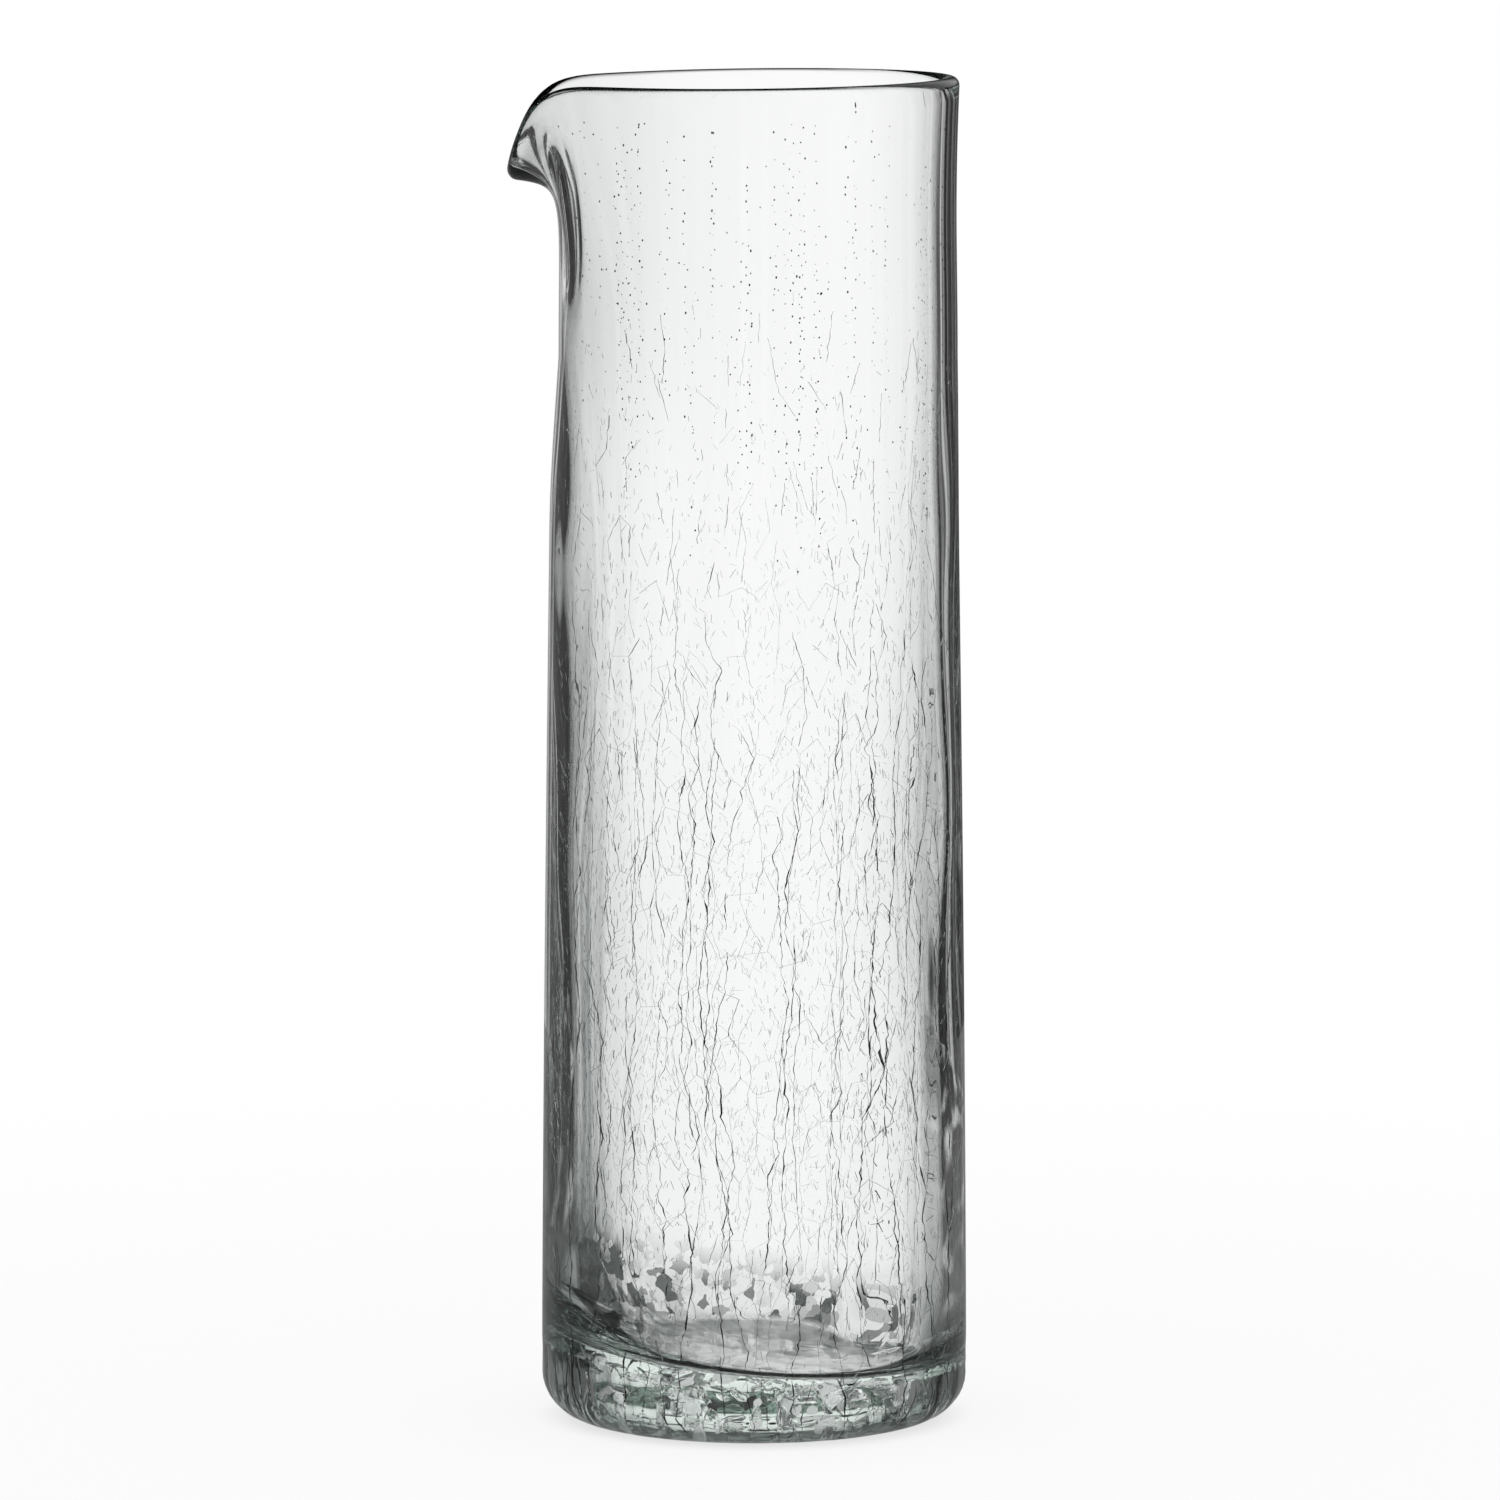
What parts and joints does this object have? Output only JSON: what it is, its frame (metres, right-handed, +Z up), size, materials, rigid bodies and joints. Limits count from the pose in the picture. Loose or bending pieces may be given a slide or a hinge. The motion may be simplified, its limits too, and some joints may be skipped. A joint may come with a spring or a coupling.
{
  "type": "glass pitcher",
  "caption": "Tall tapered crackle-glass pitcher with a thick solid foot, an open round mouth and a lip pulled into a spout, for holding and pouring drinks.",
  "frame": {"origin": "middle of the flat underside, on the axis of the body", "axes": "+Z up along the body, -X towards the spout"},
  "size_m": [0.0957, 0.0892, 0.28],
  "materials": {
    "glass": "clear with a faint green-grey cast, crackled in the body, fire-polished at the rim"
  },
  "bodies": {
    "root": {"heavy_foot": "glass", "crackled_wall": "glass", "clear_collar": "glass", "pouring_spout": "glass"}
  },
  "joints": []
}
